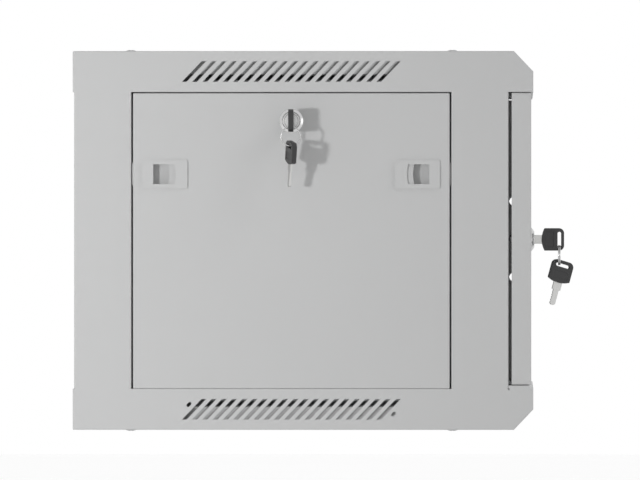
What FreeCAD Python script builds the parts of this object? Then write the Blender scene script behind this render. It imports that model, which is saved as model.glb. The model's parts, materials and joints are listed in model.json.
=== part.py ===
"""Wall mount network cabinet for 19 inch equipment, 6 units high, in millimetres.

X runs across the width, Y = 0 is the wall side and the front looks towards minus Y, Z is up.
The origin is the centre of the wall fixing holes. The left side is the one at minus X.
"""
import FreeCAD
import Part
import math
import os

os.makedirs("parts", exist_ok=True)
V = FreeCAD.Vector

# Cabinet
width = 600.0
depth = 450.0
height = 370.0
cap_height = 40.0
cap_sheet = 1.5
fold_radius = 1.2
cap_chamfer_y = 19.0
cap_chamfer_z = 20.0
cap_front_flange = 26.0
cap_rear_flange = 20.0
cap_lip_height = 14.0

# Vent slots and drain holes of the caps
vent_count = 20
vent_pitch = 10.0
vent_height = 20.0
vent_lean = 19.0
vent_width = 4.5
drain_length = 5.4
drain_width = 3.2
drain_from_middle = 100.0

# Sill under the door
sill_rise = 3.3
sill_run = 4.7
sill_foot = 0.6
sill_relief = 0.9

# Wall fixing holes
wall_hole_radius = 4.5
wall_spacing_x = 400.0
wall_spacing_z = 330.0

# Posts
post_sheet = 1.5
post_inset = 1.4
rear_post_depth = 55.9
front_post_depth = 55.7
post_return = 16.0
rear_post_flange = 45.0
front_post_flange = 20.0
front_lip_depth = 13.8
front_lip_end_gap = 8.0
lip_hole_radius = 5.7
lip_hole_forward = 6.3
lip_hole_pitch = 38.1
lip_hole_lift = 1.3

# Door
door_setback = 2.0
door_thickness = 19.1
door_gap = 3.2
door_side_gap = 1.0
door_top_gap = 0.7
door_sheet = 1.5
door_border_side = 54.0
door_border_end = 34.0
pin_radius = 2.5
pin_inset = 5.0
pin_shoulder_radius = 3.4
pin_shoulder = 6.0
pin_reach = 6.0
glass_thickness = 4.0
glass_lap = 9.0
gasket_thickness = 1.5
clip_count = 3
clip_sheet = 1.2
clip_length = 16.0
clip_reach = 7.0

# Side panels
panel_sheet = 1.2
panel_side_gap = 1.7
panel_top_gap = 1.1
panel_foot_gap = 0.12
panel_return = 12.0

# Slide latches, measured from the outer edge of their housing towards the middle of the panel
latch_edge = 9.5
latch_length = 43.7
latch_height = 27.5
latch_plate = 1.5
latch_above_middle = 64.7
latch_window_start = 10.3
latch_window_end = 31.0
latch_window_bulge = 1.2
latch_window_height = 19.4
latch_cup_start = 9.9
latch_cup_end = 24.9
latch_cup_bulge = 1.3
latch_cup_height = 19.8
latch_cup_depth = 7.4
latch_cup_wall = 1.2
latch_travel = 6.0
slider_height = 21.6
slider_plate = 2.0
slider_floor = 1.4
slider_past_window = 0.6
slider_below_plate = 0.1
slider_below_sheet = 1.0
slider_tip_in_gap = 1.0
guide_wall = 1.5
guide_lip = 2.6
guide_lip_sheet = 1.0
slide_clearance = 0.3
keeper_clearance = 0.5

# Locks
lock_flange_radius = 11.7
lock_flange = 1.2
lock_head_radius = 8.75
lock_head = 3.0
lock_thread_radius = 9.0
lock_hole_clearance = 0.1
lock_nut_across_flats = 24.0
lock_nut = 4.5
barrel_radius = 6.5
barrel_clearance = 0.06
barrel_square = 8.0
barrel_rivet_radius = 5.2
barrel_rivet = 1.2
cam_depth = 24.5
cam_sheet = 2.5
cam_half_width = 6.0
cam_reach = 22.0
cam_behind_lip = 1.0
door_lock_from_edge = 29.0
door_lock_lift = 1.0
side_lock_below_top = 27.1

# Keys
key_blade_thickness = 2.0
key_blade_height = 5.6
key_blade_length = 12.3
key_shank_height = 8.7
key_shank_length = 7.2
key_root = 5.0
key_slot_clearance = 0.25
key_notches = 4
key_tip_chamfer = 1.4
bow_size = 22.0
bow_thickness = 4.9
bow_corner = 5.0
bow_shoulder = 2.8
bow_slot_width = 3.4
bow_slot_height = 14.8
bow_slot_from_end = 3.0
bow_recess_length = 7.2
bow_recess_height = 15.2
bow_recess_from_slot = 4.1
bow_recess_depth = 0.5
ring_radius = 9.4
ring_wire_radius = 0.75
ring_rest_gap = 0.7
spare_hang = 11.5
spare_tilt_door = 16.0
spare_tilt_side = 11.0
spare_turn_door = 20.0
spare_turn_side = 18.5

# Depth bars and 19 inch rails
bar_sheet = 1.5
bar_behind_wall = 10.0
bar_web = 20.9
bar_top_flange = 24.0
bar_past_rail = 6.5
bar_end_gap = 28.0
rail_sheet = 2.0
rail_opening = 450.0
rail_flange = 37.0
rail_web = 32.0
rail_hole = 9.5
rail_hole_spacing = 465.1
rack_units = 6
rack_unit = 44.45
front_rail_setback = 65.0
rear_rail_setback = 95.0
adjust_slot = 50.0

# Fasteners
dome_radius = 6.0
dome_rise = 1.6
screw_radius = 3.0
screw_hole_clearance = 0.3
screw_length = 9.0
screw_inboard = 12.0
back_screw_rise = 1.2
back_screw_radius = 4.0
back_screw_from_end = 14.0
bolt_head_radius = 5.2
bolt_head = 4.0
bolt_nut = 5.0
stud_length = 18.0
stud_from_bar = 33.0
small_screw_radius = 2.0
small_head_radius = 3.6
small_head = 1.6

# Back panel and cable entries
back_sheet = 1.5
back_overlap = 32.0
back_edge_gap = 0.6
entry_width = 260.0
entry_depth = 80.0
entry_setback = 60.0
entry_cover_lap = 14.0
entry_cover_sheet = 1.5

# Places worked out from the sizes above
side_x = width / 2
top_z = height / 2
cap_edge_z = top_z - cap_height
door_front_y = -depth + door_setback
door_back_y = door_front_y + door_thickness
post_front_y = door_back_y + door_gap
front_post_rear_y = post_front_y + front_post_depth
rear_post_front_y = -post_inset - rear_post_depth
panel_rear_y = rear_post_front_y - panel_side_gap
panel_front_y = front_post_rear_y + panel_side_gap
panel_mid_y = (panel_rear_y + panel_front_y) / 2
panel_top_z = cap_edge_z - panel_top_gap
panel_foot_z = -cap_edge_z + panel_foot_gap
panel_inner_x = -side_x + panel_sheet
door_side_x = side_x - door_side_gap
door_top_z = cap_edge_z - door_top_gap
sill_top_z = -cap_edge_z + sill_rise
door_foot_z = sill_top_z + door_top_gap
pin_x = door_side_x - pin_inset
pin_y = door_front_y + door_thickness / 2
lip_x = -side_x + cam_depth - cam_behind_lip
bar_x = -side_x + cap_sheet + bar_behind_wall
bar_low_z = top_z - cap_sheet - bar_web
back_y = -post_inset - post_sheet
front_rail_y = -depth + front_rail_setback
rear_rail_y = -rear_rail_setback
rail_inner_x = -rail_opening / 2
rail_bolt_x = rail_inner_x - rail_flange / 2


# Building blocks
def box(x0, x1, y0, y1, z0, z1):
    """Return a block between two corners."""
    low = V(min(x0, x1), min(y0, y1), min(z0, z1))
    return Part.makeBox(abs(x1 - x0), abs(y1 - y0), abs(z1 - z0), low)


def rod(radius, length, start, direction):
    """Return a round rod from a start point along a direction."""
    return Part.makeCylinder(radius, length, start, direction)


def prism(points, run):
    """Return a straight sided solid over the outline through the points."""
    return Part.Face(Part.makePolygon(points + [points[0]])).extrude(run)


def fuse(shapes):
    """Return the shapes as one solid without seams."""
    return shapes[0].multiFuse(shapes[1:]).removeSplitter()


def folded(shape, chosen):
    """Return the shape with the fold radius on its chosen edges."""
    return shape.makeFillet(fold_radius, [e for e in shape.Edges if chosen(e.CenterOfMass)])


def mirror_x(shape):
    """Return the shape on the other side of the cabinet."""
    return shape.mirror(V(0, 0, 0), V(1, 0, 0))


def mirror_z(shape):
    """Return the shape at the other end of the cabinet."""
    return shape.mirror(V(0, 0, 0), V(0, 0, 1))


def turned(shape, centre, axis, angle):
    """Return the shape turned about an axis through a point."""
    copy = shape.copy()
    copy.rotate(centre, axis, angle)
    return copy


def screw(radius, rise, shank_radius, length, seat, inward):
    """Return a dome head screw that sits on a face and goes inward."""
    bulge = (radius * radius + rise * rise) / (2 * rise)
    ball = Part.makeSphere(bulge, seat + inward * (bulge - rise))
    head = ball.common(rod(radius, rise + 1, seat - inward * (rise + 1), inward))
    return fuse([head, rod(shank_radius, length, seat, inward)])


# Caps
def cap_outline(inset):
    """Return the corners of a cap in the side view, all moved inward by the inset."""
    slope = math.hypot(cap_chamfer_y, cap_chamfer_z)
    shift_y = inset * (slope - cap_chamfer_y) / cap_chamfer_z
    shift_z = inset * (slope - cap_chamfer_z) / cap_chamfer_y
    return [
        (-inset, cap_edge_z + inset), (-inset, top_z - inset),
        (-depth + cap_chamfer_y + shift_y, top_z - inset),
        (-depth + inset, top_z - cap_chamfer_z - shift_z),
        (-depth + inset, cap_edge_z + inset),
    ]


def cap_solid(inset):
    """Return the solid that the cap outline makes across the width."""
    start = -side_x + inset
    points = [V(start, y, z) for y, z in cap_outline(inset)]
    return prism(points, V(width - 2 * inset, 0, 0))


def vent_cutters(lean):
    """Return the slanted cutters of the vent slots, through both sides."""
    low = (cap_edge_z + top_z - vent_height) / 2
    cutters = []
    for index in range(vent_count):
        middle = panel_mid_y + (index - (vent_count - 1) / 2) * vent_pitch
        foot, head = middle + lean / 2, middle - lean / 2
        half = vent_width / 2
        outline = [V(-side_x - 1, foot - half, low), V(-side_x - 1, foot + half, low),
                   V(-side_x - 1, head + half, low + vent_height), V(-side_x - 1, head - half, low + vent_height)]
        for start in (-side_x - 1, side_x - cap_sheet - 1):
            moved = [V(start, p.y, p.z) for p in outline]
            cutters.append(prism(moved, V(cap_sheet + 2, 0, 0)))
    return cutters


def wall_hole_cutters():
    """Return the cutters of the wall fixing holes in the rear wall of a cap."""
    return [rod(wall_hole_radius, cap_sheet + 2, V(x, 1, wall_spacing_z / 2), V(0, -1, 0))
            for x in (-wall_spacing_x / 2, wall_spacing_x / 2)]


def bar_screw_places():
    """Return where the dome screws hold the depth bars, left side of the roof."""
    x = bar_x + screw_inboard
    return [V(x, rear_post_front_y + 1, top_z), V(x, front_post_rear_y - 1, top_z)]


def cap_screw_cutters():
    """Return the holes for the dome screws on both sides."""
    hole = screw_radius + screw_hole_clearance
    holes = []
    for place in bar_screw_places():
        for x in (place.x, -place.x):
            holes.append(rod(hole, cap_sheet + 2, V(x, place.y, top_z + 1), V(0, 0, -1)))
    return holes


def entry_screw_places():
    """Return the four screw places of a cable entry cover."""
    x = entry_width / 2 + entry_cover_lap / 2
    near = -entry_setback + entry_cover_lap / 2
    far = -entry_setback - entry_depth - entry_cover_lap / 2
    return [(sign * x, y) for sign in (-1, 1) for y in (near, far)]


def entry_cutters():
    """Return the cable entry and its small screw holes in the plate of a cap."""
    cutters = [box(-entry_width / 2, entry_width / 2, -entry_setback - entry_depth, -entry_setback,
                   top_z - cap_sheet - 1, top_z + 1)]
    for x, y in entry_screw_places():
        cutters.append(rod(small_screw_radius + screw_hole_clearance, cap_sheet + 2, V(x, y, top_z + 1), V(0, 0, -1)))
    return cutters


def pin_cutter():
    """Return the bore for the hinge pin in the flange of a cap."""
    return rod(pin_radius + barrel_clearance, cap_sheet + 2, V(pin_x, pin_y, cap_edge_z - 1), V(0, 0, 1))


def cap_lip():
    """Return the lip on the flange that the side panel closes against."""
    return box(lip_x - cap_sheet, lip_x, rear_post_front_y - post_sheet, front_post_rear_y + post_sheet,
               cap_edge_z - cap_lip_height, cap_edge_z + cap_sheet)


def cap(lean):
    """Return a cap in the roof's place: a folded pan, open below, with flanges and lips."""
    opening = box(lip_x, -lip_x, -depth + cap_front_flange, -cap_rear_flange, cap_edge_z - 1, cap_edge_z + cap_sheet + 1)
    outer = folded(cap_solid(0), lambda c: c.z > cap_edge_z + 1)
    shell = outer.cut(cap_solid(cap_sheet)).cut(opening)
    shell = fuse([shell, cap_lip(), mirror_x(cap_lip())])
    cutters = vent_cutters(lean) + wall_hole_cutters() + cap_screw_cutters() + entry_cutters() + [pin_cutter()]
    return shell.cut(Part.makeCompound(cutters))


def sill():
    """Return the raised part of the base below the door, with a slope at its front."""
    front, foot, under = -depth, -cap_edge_z - sill_foot, -cap_edge_z - cap_sheet
    points = [(front, foot), (front + sill_run, sill_top_z), (post_front_y, sill_top_z), (post_front_y, under),
              (front, under)]
    return prism([V(-side_x, y, z) for y, z in points], V(width, 0, 0))


def sill_cutters():
    """Return the hollow under the raised part, the bore of the lower door pin and the two fold reliefs."""
    inner_x = side_x - cap_sheet
    hollow = box(-inner_x, inner_x, -depth + sill_run + cap_sheet, post_front_y - cap_sheet,
                 -cap_edge_z - cap_sheet - 1, sill_top_z - cap_sheet)
    bore = rod(pin_radius + barrel_clearance, cap_sheet + 2, V(pin_x, pin_y, sill_top_z + 1), V(0, 0, -1))
    y, z = post_front_y - sill_relief / 2, -cap_edge_z - sill_relief / 3
    relief = rod(sill_relief, cap_sheet + 1, V(-side_x - 0.5, y, z), V(1, 0, 0))
    return [hollow, bore, relief, mirror_x(relief)]


def drain_cutter(y, z):
    """Return a short slanted hole through both side walls of the base."""
    reach = (drain_length - drain_width) / 2
    bar = box(-side_x - 1, side_x + 1, y - reach, y + reach, z - drain_width / 2, z + drain_width / 2)
    ends = [rod(drain_width / 2, width + 2, V(-side_x - 1, y + s * reach, z), V(1, 0, 0)) for s in (-1, 1)]
    through = turned(fuse([bar] + ends), V(0, y, z), V(1, 0, 0), -45)
    inside = box(-side_x + cap_sheet, side_x - cap_sheet, y - 10, y + 10, z - 10, z + 10)
    return through.cut(inside)


def base():
    """Return the base cap with its sill and drain holes."""
    middle_z = -(cap_edge_z + top_z) / 2
    pan = fuse([mirror_z(cap(-vent_lean)), sill()])
    drains = [drain_cutter(panel_mid_y + drain_from_middle, middle_z + vent_lean / 4),
              drain_cutter(panel_mid_y - drain_from_middle, middle_z - vent_lean / 4)]
    return pan.cut(Part.makeCompound(drains + sill_cutters()))


# Posts, left side
def keeper_cutter(y):
    """Return the hole in a post that a slide latch enters, at a return flange near y."""
    outer = panel_inner_x + slider_below_sheet - keeper_clearance
    inner = panel_inner_x + slider_below_sheet + slider_plate + keeper_clearance
    half = slider_height / 2 + keeper_clearance
    return box(outer, inner, y - post_sheet - 1, y + post_sheet + 1, latch_above_middle - half, latch_above_middle + half)


def back_screw_places():
    """Return where the screws hold the back panel, left side."""
    x = -side_x + rear_post_flange - back_overlap / 2
    high = cap_edge_z - back_screw_from_end
    return [V(x, -post_inset, z) for z in (-high, 0, high)]


def rear_post():
    """Return the left rear post with its rear flange and front return."""
    rear = -post_inset
    side = box(-side_x, -side_x + post_sheet, rear_post_front_y, rear, -cap_edge_z, cap_edge_z)
    flange = box(-side_x, -side_x + rear_post_flange, rear - post_sheet, rear, -cap_edge_z, cap_edge_z)
    front = box(-side_x, -side_x + post_return, rear_post_front_y, rear_post_front_y + post_sheet, -cap_edge_z, cap_edge_z)
    body = folded(fuse([side, flange, front]), lambda c: c.x < -side_x + 0.1 and abs(c.z) < 1)
    holes = [rod(screw_radius + screw_hole_clearance, post_sheet + 2, p + V(0, 1, 0), V(0, -1, 0))
             for p in back_screw_places()]
    return body.cut(Part.makeCompound(holes + [keeper_cutter(rear_post_front_y)]))


def lip_holes(x):
    """Return the three round holes of the front lip."""
    y = post_front_y - lip_hole_forward
    return [rod(lip_hole_radius, post_sheet + 2, V(x - 1, y, lip_hole_lift + k * lip_hole_pitch), V(1, 0, 0))
            for k in (-1, 0, 1)]


def front_post():
    """Return the left front post with its flange and the lip that reaches into the door."""
    end = cap_edge_z
    lip_end = cap_edge_z - front_lip_end_gap
    inner = -side_x + front_post_flange
    side = box(-side_x, -side_x + post_sheet, post_front_y, front_post_rear_y, -end, end)
    rear = box(-side_x, -side_x + post_return, front_post_rear_y - post_sheet, front_post_rear_y, -end, end)
    flange = box(-side_x, inner, post_front_y, post_front_y + post_sheet, -end, end)
    lip = box(inner - post_sheet, inner, post_front_y - front_lip_depth, post_front_y + post_sheet, -lip_end, lip_end)
    cutters = lip_holes(inner - post_sheet) + [keeper_cutter(front_post_rear_y)]
    body = folded(fuse([side, rear, flange, lip]), lambda c: c.x < -side_x + 0.1 and abs(c.z) < 1)
    return body.cut(Part.makeCompound(cutters))


# Depth bars and 19 inch rails
def depth_bar():
    """Return the depth bar under the roof, left side."""
    y0, y1 = -depth + bar_end_gap, -bar_end_gap
    top = top_z - cap_sheet
    web = box(bar_x, bar_x + bar_sheet, y0, y1, bar_low_z, top)
    upper = box(bar_x, bar_x + bar_top_flange, y0, y1, top - bar_sheet, top)
    lower = box(bar_x, rail_inner_x + bar_past_rail, y0, y1, bar_low_z, bar_low_z + bar_sheet)
    cutters = [rod(screw_radius + screw_hole_clearance, 5, p, V(0, 0, -1)) for p in bar_screw_places()]
    for y in rail_bolt_rows():
        reach, hole = adjust_slot / 2, screw_radius + screw_hole_clearance
        low = bar_low_z - 1
        cutters.append(box(rail_bolt_x - hole, rail_bolt_x + hole, y - reach, y + reach, low, low + bar_sheet + 2))
    return fuse([web, upper, lower]).cut(Part.makeCompound(cutters))


def rail_bolt_rows():
    """Return the depths at which the front and the rear rail are bolted."""
    return [front_rail_y + rail_web / 2, rear_rail_y - rail_web / 2]


def square_holes(y):
    """Return the square holes of one rail, three to each rack unit."""
    x = -rail_hole_spacing / 2
    half = rail_hole / 2
    edge = (rack_unit - 2 * 15.875) / 2
    cutters = []
    for unit in range(rack_units):
        foot = (unit - rack_units / 2) * rack_unit
        for rise in (edge, rack_unit / 2, rack_unit - edge):
            z = foot + rise
            cutters.append(box(x - half, x + half, y - 5, y + 5, z - half, z + half))
    return cutters


def rail(face_y, inward):
    """Return a left mounting rail with its face at a depth and its web running inward along Y."""
    outer = rail_inner_x - rail_flange
    back = face_y + inward * rail_web
    face = box(outer, rail_inner_x, face_y, face_y + inward * rail_sheet, -bar_low_z, bar_low_z)
    web = box(outer, outer + rail_sheet, face_y, back, -bar_low_z, bar_low_z)
    feet = [box(outer, rail_inner_x, face_y, back, s * bar_low_z, s * (bar_low_z - rail_sheet)) for s in (-1, 1)]
    middle = (face_y + back) / 2
    hole = screw_radius + screw_hole_clearance
    bolt_hole = rod(hole, 2 * bar_low_z + 2, V(rail_bolt_x, middle, -bar_low_z - 1), V(0, 0, 1))
    return fuse([face, web] + feet).cut(Part.makeCompound(square_holes(face_y) + [bolt_hole]))


# Fasteners
def four_corners(shape):
    """Return a shape of the left roof corner and its copies on the right and on the base."""
    left = [shape, mirror_z(shape)]
    return left + [mirror_x(s) for s in left]


def roof_screws():
    """Return the dome screws of roof and base."""
    solids = []
    for place in bar_screw_places():
        solids += four_corners(screw(dome_radius, dome_rise, screw_radius, screw_length, place, V(0, 0, -1)))
    return Part.makeCompound(solids)


def back_screws():
    """Return the screws of the back panel."""
    left = [screw(back_screw_radius, back_screw_rise, screw_radius, screw_length, p, V(0, -1, 0))
            for p in back_screw_places()]
    return Part.makeCompound(left + [mirror_x(s) for s in left])


def rail_bolts():
    """Return the bolts with their nuts that hold the rails to the depth bars."""
    solids = []
    for y in rail_bolt_rows():
        foot = bar_low_z - rail_sheet
        up = V(0, 0, 1)
        head = rod(bolt_head_radius, bolt_head, V(rail_bolt_x, y, foot - bolt_head), up)
        shank = rod(screw_radius, bolt_nut + rail_sheet + bar_sheet + 2, V(rail_bolt_x, y, foot), up)
        nut = rod(bolt_head_radius, bolt_nut, V(rail_bolt_x, y, bar_low_z + bar_sheet), up)
        solids += four_corners(fuse([head, shank, nut]))
    return Part.makeCompound(solids)


def cover_screws():
    """Return the small screws of the two cable entry covers."""
    solids = []
    under = top_z - cap_sheet - entry_cover_sheet
    for x, y in entry_screw_places():
        head = rod(small_head_radius, small_head, V(x, y, under), V(0, 0, -1))
        shank = rod(small_screw_radius, entry_cover_sheet + cap_sheet - 0.2, V(x, y, under), V(0, 0, 1))
        one = fuse([head, shank])
        solids += [one, mirror_z(one)]
    return Part.makeCompound(solids)


def earth_stud():
    """Return the threaded stud on the base plate with its nut."""
    floor = -top_z + cap_sheet
    place = V(-bar_x - bar_top_flange - stud_from_bar, -entry_setback - entry_depth / 2, floor)
    stud = rod(screw_radius, stud_length, place, V(0, 0, 1))
    nut = rod(bolt_head_radius, bolt_nut, place + V(0, 0, 3), V(0, 0, 1))
    flange = rod(bolt_head_radius + 1, 3, place, V(0, 0, 1))
    return fuse([stud, nut, flange])


# Back panel and cable entry covers
def back_panel():
    """Return the back panel between the rear posts."""
    half = side_x - rear_post_flange + back_overlap
    end = cap_edge_z - back_edge_gap
    sheet = box(-half, half, back_y - back_sheet, back_y, -end, end)
    holes = []
    for p in back_screw_places():
        for x in (p.x, -p.x):
            holes.append(rod(screw_radius + screw_hole_clearance, 9, V(x, 1, p.z), V(0, -1, 0)))
    return sheet.cut(Part.makeCompound(holes))


def entry_cover():
    """Return the cover below the cable entry of the roof."""
    half = entry_width / 2 + entry_cover_lap
    top = top_z - cap_sheet
    plate = box(-half, half, -entry_setback - entry_depth - entry_cover_lap, -entry_setback + entry_cover_lap,
                top - entry_cover_sheet, top)
    holes = [rod(small_screw_radius + screw_hole_clearance, 6, V(x, y, top + 1), V(0, 0, -1))
             for x, y in entry_screw_places()]
    return plate.cut(Part.makeCompound(holes))


# Door
def door_lock_centre():
    """Return the middle of the door lock on the face of the door."""
    return V(-door_side_x + door_lock_from_edge, door_front_y, door_lock_lift)


def door_frame():
    """Return the door pan with its window, lock hole and pin holes."""
    outer = box(-door_side_x, door_side_x, door_front_y, door_back_y, door_foot_z, door_top_z)
    s = door_sheet
    inner = box(-door_side_x + s, door_side_x - s, door_front_y + s, door_back_y + 1, door_foot_z + s, door_top_z - s)
    window = box(-door_side_x + door_border_side, door_side_x - door_border_side, door_front_y - 1, door_front_y + 5,
                 door_foot_z + door_border_end, door_top_z - door_border_end)
    lock = rod(lock_thread_radius + lock_hole_clearance, 6, door_lock_centre() - V(0, 2, 0), V(0, 1, 0))
    pins = rod(pin_radius, height, V(pin_x, pin_y, -height / 2), V(0, 0, 1))
    outer = folded(outer, lambda c: c.y < door_front_y + door_thickness - 1)
    return outer.cut(inner).cut(Part.makeCompound([window, lock, pins]))


def glass_box(lap, y0, y1):
    """Return a slab behind the window that laps over its edge."""
    x = door_side_x - door_border_side + lap
    return box(-x, x, y0, y1, door_foot_z + door_border_end - lap, door_top_z - door_border_end + lap)


def glass_front_y():
    """Return the front face of the glass."""
    return door_front_y + door_sheet + gasket_thickness


def door_glass():
    """Return the safety glass."""
    return glass_box(glass_lap, glass_front_y(), glass_front_y() + glass_thickness)


def glass_gasket():
    """Return the gasket between the door pan and the glass."""
    y0, y1 = door_front_y + door_sheet, glass_front_y()
    return glass_box(glass_lap, y0, y1).cut(glass_box(0.5, y0 - 1, y1 + 1))


def clip_places():
    """Return the places of the glass clips: edge point, direction to the glass and direction along the edge."""
    x = door_side_x - door_border_side + glass_lap
    top, foot = door_top_z - door_border_end + glass_lap, door_foot_z + door_border_end - glass_lap
    span = 2 * x / clip_count
    places = []
    for index in range(clip_count):
        along = (index - (clip_count - 1) / 2) * span
        places += [(V(along, 0, top), V(0, 0, -1)), (V(along, 0, foot), V(0, 0, 1))]
    quarter = (top - foot) / 4
    heights = [(top + foot) / 2 - quarter, (top + foot) / 2 + quarter]
    return places + [(V(s * x, 0, z), V(-s, 0, 0)) for s in (-1, 1) for z in heights]


def glass_clips():
    """Return the Z shaped clips that press the glass to the gasket."""
    pan_y = door_front_y + door_sheet
    back = glass_front_y() + glass_thickness
    solids = []
    for edge, inward in clip_places():
        along = inward.cross(V(0, 1, 0)) * (clip_length / 2)
        c = clip_sheet
        profile = [(clip_reach, back), (clip_reach, back + c), (-1.0 - c, back + c), (-1.0 - c, pan_y + c),
                   (-1.0 - c - clip_reach, pan_y + c), (-1.0 - c - clip_reach, pan_y), (-1.0, pan_y), (-1.0, back)]
        points = [V(edge.x, 0, edge.z) + inward * a + V(0, b, 0) - along for a, b in profile]
        solids.append(prism(points, along * 2))
    return Part.makeCompound(solids)


def hinge_pin(up):
    """Return a door pin at the head (up = 1) or at the foot (up = -1)."""
    sheet_z = door_top_z if up > 0 else -door_foot_z
    inner = sheet_z - door_sheet
    reach = cap_edge_z + cap_sheet + pin_reach
    pin = rod(pin_radius, reach - inner, V(pin_x, pin_y, up * inner), V(0, 0, up))
    shoulder = rod(pin_shoulder_radius, pin_shoulder, V(pin_x, pin_y, up * inner), V(0, 0, -up))
    return fuse([pin, shoulder])


# Side panel, left
def to_front(shape):
    """Return the shape of the rear latch area in its mirrored place near the front post."""
    return shape.mirror(V(0, panel_mid_y, 0), V(0, 1, 0))


def latch_box(x0, x1, u0, u1, half):
    """Return a block of the rear latch: u runs from the outer edge of its housing to the panel's middle."""
    edge = panel_rear_y - latch_edge
    return box(x0, x1, edge - u0, edge - u1, latch_above_middle - half, latch_above_middle + half)


def latch_outline(x, start, end, bulge, tall, run):
    """Return a solid over an outline with a straight outer edge and an arc as its inner edge."""
    edge, z, half = panel_rear_y - latch_edge, latch_above_middle, tall / 2
    corners = [V(x, edge - end, z + half), V(x, edge - start, z + half),
               V(x, edge - start, z - half), V(x, edge - end, z - half)]
    sides = [Part.LineSegment(a, b).toShape() for a, b in zip(corners, corners[1:])]
    arc = Part.Arc(corners[3], V(x, edge - end - bulge, z), corners[0]).toShape()
    return Part.Face(Part.Wire(sides + [arc])).extrude(V(run, 0, 0))


def latch_window(x, run):
    """Return the opening of the latch housing."""
    return latch_outline(x, latch_window_start, latch_window_end, latch_window_bulge, latch_window_height, run)


def block_span():
    """Return where the block of the slider starts and ends at rest, along the panel."""
    end = latch_window_end + latch_window_bulge + latch_travel + slider_past_window
    return latch_cup_start - latch_cup_wall, end


def collar_span():
    """Return where the collar of the housing passes the sheet, along the panel."""
    start, end = block_span()
    return start - latch_travel - slide_clearance - guide_wall, end + slide_clearance + guide_wall


def guide_half():
    """Return half the height over the guide walls of the housing."""
    return slider_height / 2 + slide_clearance + guide_wall


def slider_face_x():
    """Return the face of the slider, just below the plate of the housing."""
    return -side_x + slider_below_plate


def slider_back_x():
    """Return the back of the slider's block."""
    return slider_face_x() + latch_cup_depth + slider_floor


def latch_housing():
    """Return the housing of the rear latch: plate, collar and guide in one moulding."""
    inner = guide_half() - guide_wall
    back = slider_back_x() + slide_clearance
    start, end = collar_span()
    plate = latch_box(-side_x - latch_plate, -side_x, 0, latch_length, latch_height / 2)
    rims = [e for e in plate.Edges if abs(e.Vertexes[0].X - e.Vertexes[1].X) > latch_plate / 2]
    plate = plate.makeFillet(2.0, rims)
    collar = latch_box(-side_x, panel_inner_x, start, end, guide_half())
    collar = collar.cut(latch_box(-side_x, panel_inner_x, start + guide_wall, end - guide_wall, inner))
    front = fuse([plate, collar]).cut(latch_window(-side_x - latch_plate - 1, latch_plate + 1))
    guide = latch_box(panel_inner_x, back + guide_lip_sheet, -latch_edge / 2, latch_length, guide_half())
    guide = guide.cut(latch_box(panel_inner_x - 1, back, -latch_edge, latch_length + 1, inner))
    guide = guide.cut(latch_box(back - 1, back + 5, -latch_edge, latch_length + 1, inner - guide_lip))
    return fuse([front, guide])


def latch_slider():
    """Return the slider of the rear latch: a flat bolt and a block with the finger cup."""
    bolt_x, face = panel_inner_x + slider_below_sheet, slider_face_x()
    start, end = block_span()
    half = slider_height / 2
    bolt = latch_box(bolt_x, bolt_x + slider_plate, -latch_edge - slider_tip_in_gap, end, half)
    block = latch_box(face, slider_back_x(), start, end, half)
    cup = latch_outline(face - 1, latch_cup_start, latch_cup_end, latch_cup_bulge, latch_cup_height, latch_cup_depth + 1)
    return fuse([bolt, block]).cut(cup)


def latch_cutters():
    """Return what the rear latch cuts from the panel: the collar's hole and the bolt's way out."""
    start, end = collar_span()
    hole = latch_box(-side_x - 1, panel_inner_x + 1, start - slide_clearance, end + slide_clearance,
                     guide_half() + slide_clearance)
    face = panel_inner_x + slider_below_sheet
    way = latch_box(face - keeper_clearance, face + slider_plate + keeper_clearance, -latch_edge - 1,
                    -latch_edge + panel_sheet + 1, slider_height / 2 + keeper_clearance)
    return [hole, way]


def side_lock_centre():
    """Return the middle of the side lock on the face of the panel."""
    return V(-side_x, panel_mid_y, panel_top_z - side_lock_below_top)


def panel():
    """Return the left side panel, a folded sheet with returns on its four edges."""
    s = panel_sheet
    outer = box(-side_x, -side_x + panel_return, panel_front_y, panel_rear_y, panel_foot_z, panel_top_z)
    outer = folded(outer, lambda c: c.x < -side_x + panel_return - 1)
    inner = box(-side_x + s, -side_x + panel_return + 1, panel_front_y + s, panel_rear_y - s,
                panel_foot_z + s, panel_top_z - s)
    lock = rod(lock_thread_radius + lock_hole_clearance, 6, side_lock_centre() - V(2, 0, 0), V(1, 0, 0))
    rear = latch_cutters()
    return outer.cut(inner).cut(Part.makeCompound([lock] + rear + [to_front(c) for c in rear]))


# Locks and keys, made at the origin with the outside towards minus Y
def placed(shape, centre, on_side):
    """Return a lock piece in its place, on the door or turned onto the left side panel."""
    copy = turned(shape, V(0, 0, 0), V(0, 0, 1), -90 if on_side else 0)
    copy.translate(centre)
    return copy


def lock_body():
    """Return the lock body with its flange, head and thread."""
    flange = rod(lock_flange_radius, lock_flange, V(0, 0, 0), V(0, -1, 0))
    flange = flange.makeChamfer(lock_flange / 2, [e for e in flange.Edges if e.CenterOfMass.y < -lock_flange / 2
                                                  and len(e.Vertexes) == 1])
    head = rod(lock_head_radius, lock_head, V(0, 0, 0), V(0, -1, 0))
    thread = rod(lock_thread_radius, cam_depth - 0.5, V(0, 0, 0), V(0, 1, 0))
    bore = rod(barrel_radius + barrel_clearance, cam_depth + 9, V(0, -lock_head - 1, 0), V(0, 1, 0))
    return fuse([flange, head, thread]).cut(bore)


def lock_nut_piece(sheet):
    """Return the hexagon nut behind a sheet."""
    reach = lock_nut_across_flats / math.sqrt(3)
    points = [V(reach * math.sin(math.radians(a)), sheet, reach * math.cos(math.radians(a))) for a in range(0, 360, 60)]
    return prism(points, V(0, lock_nut, 0)).cut(rod(lock_thread_radius, 20, V(0, -1, 0), V(0, 1, 0)))


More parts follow.
